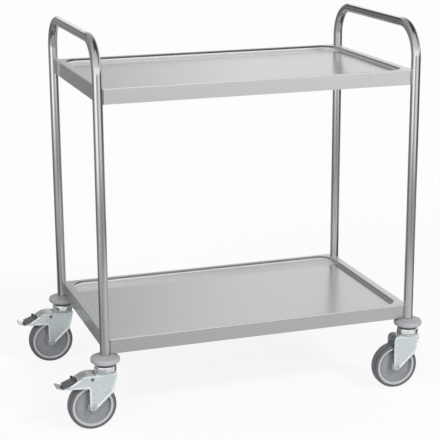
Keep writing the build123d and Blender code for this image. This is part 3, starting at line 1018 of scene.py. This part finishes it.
class Cart:
    """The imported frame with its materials, which the sub-assemblies dress."""

    def __init__(self) -> None:
        """Load the frame, keep its box and make the materials."""
        self.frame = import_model()
        self.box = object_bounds()
        self.materials = {slot.value: finish.material(slot.value) for slot, finish in FINISHES.items()}
        self.piece_materials = {piece: finish.material(piece) for piece, finish in PIECE_FINISHES.items()}
        self.slots = {part["node"]: part["material_slot"] for part in self.frame["record"]["subparts"]}
        bodies = self.frame["record"]["behaviour"]["bodies"]
        self.body_of = {node: body for body, nodes in bodies.items() for node in nodes}

    def dress(self, piece: bpy.types.Object, slot: str) -> None:
        """Give a piece the material of a slot, or the one kept for its kind.

        Args:
            piece: The piece.
            slot: Name of the slot.
        """
        own = [made for kind, made in self.piece_materials.items() if piece.name.endswith(kind)]
        piece.data.materials.clear()
        piece.data.materials.append(own[0] if own else self.materials[slot])

    def dress_nodes(self) -> None:
        """Give every CAD node the material of its slot."""
        for node, slot in self.slots.items():
            self.dress(self.frame["nodes"][node], slot)
            LOG.info("dressed %s in %s", node, slot)

    def stand_for(self, piece: bpy.types.Object, node: str) -> None:
        """Let a new piece take a node's place, body and finish.

        Args:
            piece: The new piece.
            node: The CAD node that it stands for.
        """
        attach(piece, self.body_of[node])
        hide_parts(node)
        self.finish_piece(piece, self.slots[node])

    def finish_piece(self, piece: bpy.types.Object, slot: str) -> None:
        """Give a new piece the material of a slot, and report it.

        Args:
            piece: The new piece.
            slot: Name of the slot.
        """
        self.dress(piece, slot)
        LOG.info("built %s, %d faces", piece.name, len(piece.data.polygons))


@dataclass
class EndFrame:
    """One bent tube: two legs and the push bar between them."""

    side: str
    wall: float = 0.0012
    bend_radius: float = 0.085
    bend_steps: int = 28
    around: int = 56

    def tube(self) -> bpy.types.Object:
        """Carry the tube's two circles along its route, out along the outside and back along the bore.

        Returns:
            The tube, with the distance along it as its second UV axis.
        """
        box = Box.of(f"{self.side}_end_frame")
        radius = box.half[0]
        leg, bar = box.half[1] - radius, box.high[2] - radius
        corners = [(-leg, box.low[2]), (-leg, bar), (leg, bar), (leg, box.low[2])]
        bends = [0, self.bend_radius, self.bend_radius, 0]
        route = rounded(corners, bends, self.bend_steps, closed=False)
        sides = side_directions(route)
        cosine, sine = circle(self.around)

        def rings(size: float) -> np.ndarray:
            """Circles of one size, square to the route.

            Args:
                size: Their radius.

            Returns:
                A ring of points at each point of the route.
            """
            flat = route[:, None, :] + size * sine[None, :, None] * sides[:, None, :]
            level = np.broadcast_to(box.centre[0] + size * cosine, flat.shape[:2])
            return np.concatenate([level[..., None], flat], axis=-1)

        points = np.concatenate([rings(radius), rings(radius - self.wall)[::-1]])
        along = lengths_along(route)
        heights = np.concatenate([along, along[::-1], along[:1]])
        return mesh_object(f"{self.side}_bent_tube", [Grid(points, Ends.JOINED)], [heights])

    def build(self, cart: Cart) -> None:
        """Put the tube in its node's place."""
        cart.stand_for(self.tube(), f"{self.side}_end_frame")


@dataclass
class WeldBeads:
    """Rippled weld beads where the shelves' aprons meet the legs."""

    size: float = 0.003
    ripple_pitch: float = 0.0021
    ripple_share: float = 0.13
    ripple_lean: float = 0.0007
    rim_gap: float = 0.002
    rings_a_ripple: int = 8
    around: int = 20
    end_taper: float = 0.002
    end_share: float = 0.02

    def bead(self, x: float, y: float, low: float, high: float) -> Grid:
        """One bead: a round bar whose radius ripples up its length and closes in at both ends.

        Args:
            x: Its axis along X.
            y: Its axis along Y.
            low: Its lower end.
            high: Its upper end.

        Returns:
            The bead's surface.
        """
        count = self.rings_a_ripple * round((high - low) / self.ripple_pitch)
        height = np.linspace(low, high, count)[:, None]
        cosine, sine = circle(self.around)
        phase = (height + self.ripple_lean * cosine) / self.ripple_pitch
        ripple = 1 - self.ripple_share * np.abs(2 * (phase % 1) - 1) ** 2
        taper = np.clip(np.minimum(height - low, high - height) / self.end_taper, self.end_share, 1)
        radius = self.size * ripple * np.sqrt(taper)
        level = np.broadcast_to(height, radius.shape)
        return Grid(np.stack([x + radius * cosine, y + radius * sine, level], axis=-1), Ends.CAPPED)

    def build(self, cart: Cart) -> None:
        """Run a bead up both sides of each leg, at both shelves.

        Args:
            cart: The cart that is dressed.
        """
        legs = [Box.of("left_end_frame"), Box.of("right_end_frame")]
        tube = legs[0].half[0]
        leg_y = legs[0].half[1] - tube
        beads = []
        for shelf in (Box.of("bottom_shelf"), Box.of("top_shelf")):
            span = (shelf.low[2], shelf.high[2] - self.rim_gap)
            for leg in legs:
                leg_x = leg.centre[0]
                end_x = math.copysign(shelf.half[0], leg_x)
                along_side = math.sqrt(tube**2 - (shelf.half[1] - leg_y) ** 2)
                along_end = math.sqrt(tube**2 - (leg_x - end_x) ** 2)
                for side in (-1, 1):
                    inward_x = leg_x - math.copysign(along_side, leg_x)
                    beads.append(self.bead(inward_x, side * shelf.half[1], *span))
                    beads.append(self.bead(end_x, side * (leg_y - along_end), *span))
        heights = [np.linspace(0.0, 1.0, len(bead.points)) for bead in beads]
        cart.stand_for(mesh_object("weld_beads", beads, heights), "shelf_welds")


@dataclass
class Tyre:
    """Solid tyre with rounded shoulders, a faint crown and the mould's parting line."""

    caster: str
    shoulder: float = 0.007
    bore_edge: float = 0.001
    thickness: float = 0.0088
    crown: float = 0.0005
    parting_height: float = 0.0003
    parting_width: float = 0.0008
    bore_fade: int = 4
    tread_points: int = 41
    arc_steps: int = 12
    around: int = 144

    def section(self, radius: float, half: float) -> np.ndarray:
        """Closed section of the tyre.

        A parabola drops the tread towards its shoulders, and a narrow bell stands in its middle.

        Args:
            radius: Outer radius.
            half: Half of the width.

        Returns:
            Points of (radius, distance along the axle).
        """
        bore = radius - self.thickness
        corners = [(bore, 0), (bore, -half), (radius, -half), (radius, half), (bore, half)]
        radii = [0, self.bore_edge, self.shoulder, self.shoulder, self.bore_edge]
        outline = rounded(corners, radii, self.arc_steps, closed=True)
        flat = half - self.shoulder
        across = np.linspace(-flat, flat, self.tread_points)[1:-1]
        tread = np.stack([np.full_like(across, radius), across], axis=1)
        split = 1 + 2 * (self.arc_steps + 1)
        outline = np.concatenate([outline[:split], tread, outline[split:]])
        wear_and_edge_highlight = self.crown * np.clip(np.abs(outline[:, 1]) / half, 0, 1) ** 2
        line = self.parting_height * np.exp(-((outline[:, 1] / self.parting_width) ** 2))
        on_tread = np.clip((outline[:, 0] - bore) / self.thickness, 0, 1) ** self.bore_fade
        outline[:, 0] -= on_tread * (wear_and_edge_highlight + self.parting_height - line)
        return outline

    def build(self, cart: Cart) -> None:
        """Turn the section about the axle and put it in its node's place.

        Args:
            cart: The cart that is dressed.
        """
        node = f"{self.caster}_tyre"
        box = Box.of(node)
        section = self.section(box.half[2], box.half[1])
        cosine, sine = circle(self.around)
        x = box.centre[0] + section[:, :1] * cosine
        z = box.centre[2] + section[:, :1] * sine
        y = np.broadcast_to(box.centre[1] + section[:, 1:], x.shape)
        along = lengths_along(np.concatenate([section, section[:1]]))
        grid = Grid(np.stack([x, y, z], axis=-1), Ends.JOINED)
        cart.stand_for(mesh_object(f"{self.caster}_moulded_tyre", [grid], [along / along[-1]]), node)


@dataclass
class CheekEdges:
    """Raised rolled edge that stiffens both cheeks of a fork.

    The knee is given ahead of the swivel axis and above the axle, the wing behind that axis and below the
    fork's web. Drops are below the web too.
    """

    caster: str
    braked: bool
    trail: float = 0.038
    tip_radius: float = 0.0095
    knee: Pair = (0.014, 0.0345)
    knee_radius: float = 0.014
    start_drop: float = 0.011
    plain_end_drop: float = 0.020
    root_drop: float = 0.036
    root_radius: float = 0.0045
    wing_end: Pair = (0.104, 0.0325)
    wing_top: tuple[Pair, ...] = ((0.0985, 0.0245), (0.0698, 0.0085))
    crown_front: float = 0.027
    sheet: float = 0.0025
    race_plate: float = 0.0025
    inset: float = 0.0032
    width: float = 0.0058
    height: float = 0.0015
    sink: float = 0.0004
    taper: float = 0.006
    end_share: float = 0.03
    arc_steps: int = 16
    wing_points: int = 24
    around: int = 18

    def route(self, top: float, front: float, axle: float) -> np.ndarray:
        """Edge of the cheek from its front corner down round the eye and up its rear.

        Args:
            top: Height of the fork's web.
            front: Front end of the crown, from the swivel axis.
            axle: Height of the axle.

        Returns:
            Points of (distance ahead of the swivel axis, height).
        """
        knee_x, knee_rise = self.knee
        run = knee_x + self.trail
        slope = math.atan2(knee_rise, run) + math.asin(self.tip_radius / math.hypot(run, knee_rise))
        rear = -(self.trail + self.tip_radius)
        tip = (rear, axle + knee_rise - (knee_x - rear) * math.tan(slope))
        knee = (knee_x, axle + knee_rise)
        share = self.start_drop / (top - knee[1])
        start = (front + share * (knee_x - front), top - self.start_drop)
        corners = [start, knee, tip]
        radii = [0, self.knee_radius, self.tip_radius]
        if self.braked:
            corners += [(rear, top - self.root_drop), (-self.wing_end[0], top - self.wing_end[1])]
            radii += [self.root_radius, 0]
        else:
            corners += [(rear, top - self.plain_end_drop)]
            radii += [0]
        return rounded(corners, radii, self.arc_steps, closed=False)

    def bead(self, edge: np.ndarray, along: np.ndarray) -> tuple[np.ndarray, np.ndarray]:
        """Half an ellipse carried along an edge, with a shallow back, smaller towards both ends.

        Args:
            edge: Points of the edge, with the cheek to its right.
            along: Distance of each from the start.

        Returns:
            Points on the cheek's face, and how far each stands out from it.
        """
        sides = side_directions(edge)
        middle = edge - sides * self.inset
        share = np.clip(np.minimum(along, along[-1] - along) / self.taper, self.end_share, 1)[:, None]
        cosine, sine = circle(self.around)
        across = self.width / 2 * cosine * np.sqrt(share)
        out = np.where(sine > 0, self.height * sine * share, self.sink * sine)
        return middle[:, None, :] + sides[:, None, :] * across[..., None], out

    def build(self, cart: Cart) -> None:
        """Lay a half-round bead on the outer face of each cheek, sunk a little into the sheet.

        Args:
            cart: The cart that is dressed.
        """
        fork, tyre = Box.of(f"{self.caster}_fork"), Box.of(f"{self.caster}_tyre")
        axis_x = tyre.centre[0] + self.trail
        half = Box.of(f"{self.caster}_axle_sleeve").half[1] + self.sheet
        top = fork.high[2] - self.race_plate
        edges = [self.route(top, self.crown_front, tyre.centre[2])]
        if self.braked:
            ends = [np.array((-x, top - drop)) for x, drop in self.wing_top]
            edges.append(np.linspace(*ends, self.wing_points))
        grids, heights = [], []
        for edge in edges:
            along = lengths_along(edge)
            flat, out = self.bead(edge, along)
            for side in (-1, 1):
                y = tyre.centre[1] + side * (half + out)
                grids.append(Grid(np.stack([axis_x + flat[..., 0], y, flat[..., 1]], axis=-1), Ends.CAPPED))
                heights.append(along)
        piece = mesh_object(f"{self.caster}_rolled_edges", grids, heights)
        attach(piece, f"{self.caster}_caster")
        cart.finish_piece(piece, Slot.BRIGHT_ZINC.value)


@dataclass(frozen=True)
class PhotoCamera:
    """Camera at the photograph's viewing angle. Angles are in radians."""

    place: tuple[float, float, float] = (-1.1816, -3.4454, 1.4357)
    heading: float = 0.3229
    pitch: float = 0.2665
    roll: float = -0.0059
    focal_pixels: float = 1375.8
    image_pixels: float = 440.0
    sensor: float = 36.0

    def build(self) -> None:
        """Make the camera from its heading, its downward pitch and its roll."""
        ahead = Vector((math.sin(self.heading), math.cos(self.heading), 0.0)) * math.cos(self.pitch)
        ahead.z = -math.sin(self.pitch)
        right = Vector((math.cos(self.heading), -math.sin(self.heading), 0.0))
        turn = Matrix.Rotation(-self.roll, 3, ahead)
        right = turn @ right
        rotation = Matrix((right, right.cross(ahead), -ahead)).transposed()
        data = bpy.data.cameras.new("photo_camera")
        data.sensor_width = self.sensor
        data.lens = self.sensor * self.focal_pixels / self.image_pixels
        camera = bpy.data.objects.new("photo_camera", data)
        camera.matrix_world = Matrix.Translation(self.place) @ rotation.to_4x4()
        bpy.context.scene.collection.objects.link(camera)
        bpy.context.scene.camera = camera


@dataclass(frozen=True)
class SoftLamp:
    """A large soft lamp far away. Its level is what it adds to a white surface that faces it."""

    name: str
    azimuth: float
    elevation: float
    level: float
    spread: float

    def build(self) -> None:
        """Make the lamp as a sun with a wide disc. Bright metal mirrors the panels instead of it."""
        data = bpy.data.lights.new(self.name, "SUN")
        data.energy = self.level * math.pi
        data.angle = math.radians(self.spread)
        azimuth, elevation = math.radians(self.azimuth), math.radians(self.elevation)
        flat = math.cos(elevation)
        away = Vector((math.sin(azimuth) * flat, math.cos(azimuth) * flat, math.sin(elevation)))
        lamp = bpy.data.objects.new(self.name, data)
        lamp.rotation_euler = (-away).to_track_quat("-Z", "Y").to_euler()
        lamp.location = away
        lamp.visible_glossy = False
        bpy.context.scene.collection.objects.link(lamp)


@dataclass(frozen=True)
class PanelRow:
    """One ring of the panels that bright metal mirrors.

    The ring's profile is a list of (radius, height), and its levels are a list of (azimuth, level).
    """

    name: str
    profile: tuple[Pair, ...]
    levels: tuple[Pair, ...]


@dataclass(frozen=True)
class Panels:
    """Grey and white panels round the cart, seen only in its metal: floor, back wall and canopy."""

    brightest: float = 2.0
    columns: int = 120
    rows: tuple[PanelRow, ...] = (
        PanelRow("under", ((0.02, 0.002), (0.14, 0.002)), ((0, 0.15), (360, 0.15))),
        PanelRow("centre", ((0.30, 0.002), (0.78, 0.002)), (
            (0, 0.05), (8, 0.40), (40, 0.40), (54, 0.05), (108, 0.05), (124, 0.76), (176, 0.76),
            (194, 0.70), (262, 0.74), (276, 0.05), (286, 0.05), (298, 0.42), (330, 0.42), (345, 0.05),
            (360, 0.05),
        )),
        PanelRow("near", ((0.88, 0.002), (1.4, 0.002)), (
            (0, 0.32), (8, 0.62), (40, 0.62), (54, 0.14), (106, 0.14), (125, 0.84), (148, 0.84),
            (166, 0.82), (195, 0.74), (215, 0.48), (256, 0.47), (272, 0.14), (296, 0.14), (312, 0.36),
            (336, 0.34), (360, 0.32),
        )),
        PanelRow("middle", ((1.7, 0.002), (2.7, 0.002)), (
            (0, 0.42), (8, 0.75), (40, 0.75), (54, 0.42), (98, 0.28), (120, 0.28), (136, 0.55),
            (160, 0.46), (188, 0.34), (206, 0.50), (224, 0.60), (250, 0.64), (268, 0.50), (286, 0.24),
            (330, 0.22), (346, 0.30), (360, 0.42),
        )),
        PanelRow("far", ((3.7, 0.002), (6.5, 0.002), (6.5, 0.8)), (
            (0, 0.45), (8, 0.85), (40, 0.85), (54, 0.18), (96, 0.16), (128, 0.14), (144, 1.25),
            (176, 1.07), (194, 0.50), (210, 0.60), (226, 1.80), (250, 1.60), (268, 0.50), (286, 0.30),
            (336, 0.28), (348, 0.40), (360, 0.45),
        )),
        PanelRow("wall", ((6.5, 1.0), (6.5, 1.5)), (
            (0, 0.72), (10, 0.87), (20, 1.04), (30, 0.94), (88, 1.15), (104, 0.95), (120, 0.90),
            (150, 1.40), (240, 1.40), (266, 0.85), (276, 0.40), (298, 0.34), (308, 0.70), (322, 0.75),
            (332, 0.66), (346, 0.60), (353, 0.54), (360, 0.72),
        )),
        PanelRow("upper_wall", ((6.5, 1.75), (6.5, 2.75)), (
            (0, 0.56), (10, 0.68), (20, 0.99), (30, 1.03), (88, 1.15), (104, 0.95), (120, 0.90),
            (150, 1.40), (240, 1.40), (266, 0.85), (276, 0.40), (298, 0.34), (308, 0.70), (322, 0.72),
            (334, 0.42), (346, 0.36), (353, 0.42), (360, 0.56),
        )),
        PanelRow("canopy", ((6.3, 3.1), (5.8, 3.9)), (
            (0, 0.20), (6, 0.30), (12, 1.00), (34, 1.00), (50, 0.80), (86, 0.80), (102, 0.25),
            (120, 0.25), (150, 1.00), (240, 1.00), (266, 0.85), (276, 0.40), (298, 0.34), (308, 0.70),
            (322, 0.70), (340, 0.25), (360, 0.20),
        )),
        PanelRow("opening", ((5.0, 4.9), (2.8, 6.2)), (
            (0, 0.95), (28, 0.90), (48, 0.12), (118, 0.12), (140, 1.00), (250, 1.00), (320, 0.90),
            (360, 0.95),
        )),
        PanelRow("roof", ((1.9, 6.45), (0.3, 6.6)), (
            (0, 1.0), (25, 0.9), (45, 0.12), (180, 0.12), (215, 1.0), (360, 1.0),
        )),
    )

    def material(self) -> bpy.types.Material:
        """Emission whose level goes from row to row up the UV map, by azimuth within each.

        Returns:
            The panels' material.
        """
        shader, material = Shader.for_material("reflected_panels")
        round_share, height = shader.axes(Coordinates.UV, "XY")
        level = (0.0, 0.0, 0.0)
        for number, row in enumerate(self.rows):
            stops = [(azimuth / FULL_TURN, value / self.brightest) for azimuth, value in row.levels]
            grey = shader.node("ShaderNodeValToRGB", {"stops": stops}, {0: round_share})
            level = shader.blend(shader.spread(height, (number - 1, number)), level, grey)
            LOG.info("panel row %s, %d levels", row.name, len(row.levels))
        glow = shader.node("ShaderNodeEmission", None, {"Color": level, "Strength": self.brightest})
        shader.node("ShaderNodeOutputMaterial", None, {"Surface": glow})
        return material

    def build(self) -> None:
        """Turn the rows' profiles about the origin, with azimuth and row number as UV map."""
        profile = np.array([point for row in self.rows for point in row.profile])
        heights = np.array([float(number) for number, row in enumerate(self.rows) for _ in row.profile])
        azimuth = np.linspace(0.0, 2 * math.pi, self.columns, endpoint=False)
        x = profile[:, :1] * np.sin(azimuth)
        y = profile[:, :1] * np.cos(azimuth)
        z = np.broadcast_to(profile[:, 1:], x.shape)
        made = mesh_object("reflected_panels", [Grid(np.stack([x, y, z], axis=-1), Ends.OPEN)], [heights])
        made.data.materials.append(self.material())
        made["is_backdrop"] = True
        for ray in ("camera", "diffuse", "transmission", "volume_scatter", "shadow"):
            setattr(made, f"visible_{ray}", False)


@dataclass(frozen=True)
class Studio:
    """Pale floor, white surroundings and soft lamps."""

    dome_level: float = 0.34
    floor_radius: float = 60.0
    floor_centre: float = 0.0001
    floor_rings: int = 12
    floor_around: int = 96
    floor_colour: Colour = (0.95, 0.95, 0.95)
    floor_white: float = 0.88
    lamps: tuple[SoftLamp, ...] = (
        SoftLamp("key_lamp", 146.0, 44.0, 0.43, 10.0),
        SoftLamp("low_lamp", 158.0, 4.5, 0.29, 8.0),
        SoftLamp("fill_lamp", 222.0, 38.0, 0.36, 30.0),
    )

    @staticmethod
    def shown(shader: Shader) -> Socket:
        """Tell what is looked at from what only gives light.

        Args:
            shader: The shader of the floor or the world.

        Returns:
            1 for rays from the camera, mirrors and glass, and otherwise 0.
        """
        rays = [f"Is {kind} Ray" for kind in ("Camera", "Glossy", "Transmission")]
        camera, glossy, through = (shader.node("ShaderNodeLightPath", output=ray) for ray in rays)
        return camera.larger(glossy).larger(through)

    def world(self) -> None:
        """White where it is looked at, and a plain level as light."""
        world = bpy.data.worlds.new("studio")
        world.use_nodes = True
        bpy.context.scene.world = world
        shader = Shader(world.node_tree)
        strength = self.dome_level + (1 - self.dome_level) * self.shown(shader)
        light = shader.node("ShaderNodeBackground", None, {"Color": (1.0, 1.0, 1.0), "Strength": strength})
        shader.node("ShaderNodeOutputWorld", None, {"Surface": light})

    def floor(self) -> None:
        """Pale floor as wide as the camera can see, whitened where it is looked at."""
        shader, material = Shader.for_material("pale_floor")
        paint = shader.node("ShaderNodeBsdfDiffuse", None, {"Color": self.floor_colour})
        white = shader.node("ShaderNodeEmission", None, {"Color": (1.0, 1.0, 1.0), "Strength": 1.0})
        share = self.floor_white * self.shown(shader)
        surface = shader.node("ShaderNodeMixShader", None, {0: share, 1: paint, 2: white})
        shader.node("ShaderNodeOutputMaterial", None, {"Surface": surface})
        cosine, sine = circle(self.floor_around)
        radius = np.geomspace(self.floor_centre, self.floor_radius, self.floor_rings)[:, None]
        level = np.zeros((self.floor_rings, self.floor_around))
        points = np.stack([radius * cosine, radius * sine, level], axis=-1)
        made = mesh_object("floor", [Grid(points, Ends.OPEN)], [np.arange(float(self.floor_rings))])
        made.data.materials.append(material)
        made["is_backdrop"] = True

    def build(self) -> None:
        """Set up the stage, the light and the camera."""
        bpy.context.scene.view_settings.view_transform = "Standard"
        self.world()
        self.floor()
        Panels().build()
        for lamp in self.lamps:
            lamp.build()
        PhotoCamera().build()


@dataclass
class Casters:
    """The four casters: braked ones on the left, plain ones on the right."""

    braked: tuple[str, ...] = ("front_left", "rear_left")
    plain: tuple[str, ...] = ("front_right", "rear_right")

    def build(self, cart: Cart) -> None:
        """Give each caster its moulded tyre and its rolled fork edges.

        Args:
            cart: The cart that is dressed.
        """
        for name in self.braked + self.plain:
            Tyre(name).build(cart)
            CheekEdges(name, name in self.braked).build(cart)


def main() -> None:
    """Build the sub-assemblies in order and set the stage."""
    logging.basicConfig(level=logging.INFO, format="%(message)s")
    cart = Cart()
    cart.dress_nodes()
    for assembly in (EndFrame("left"), EndFrame("right"), WeldBeads(), Casters()):
        assembly.build(cart)
    Studio().build()


if __name__ == "__main__":
    main()
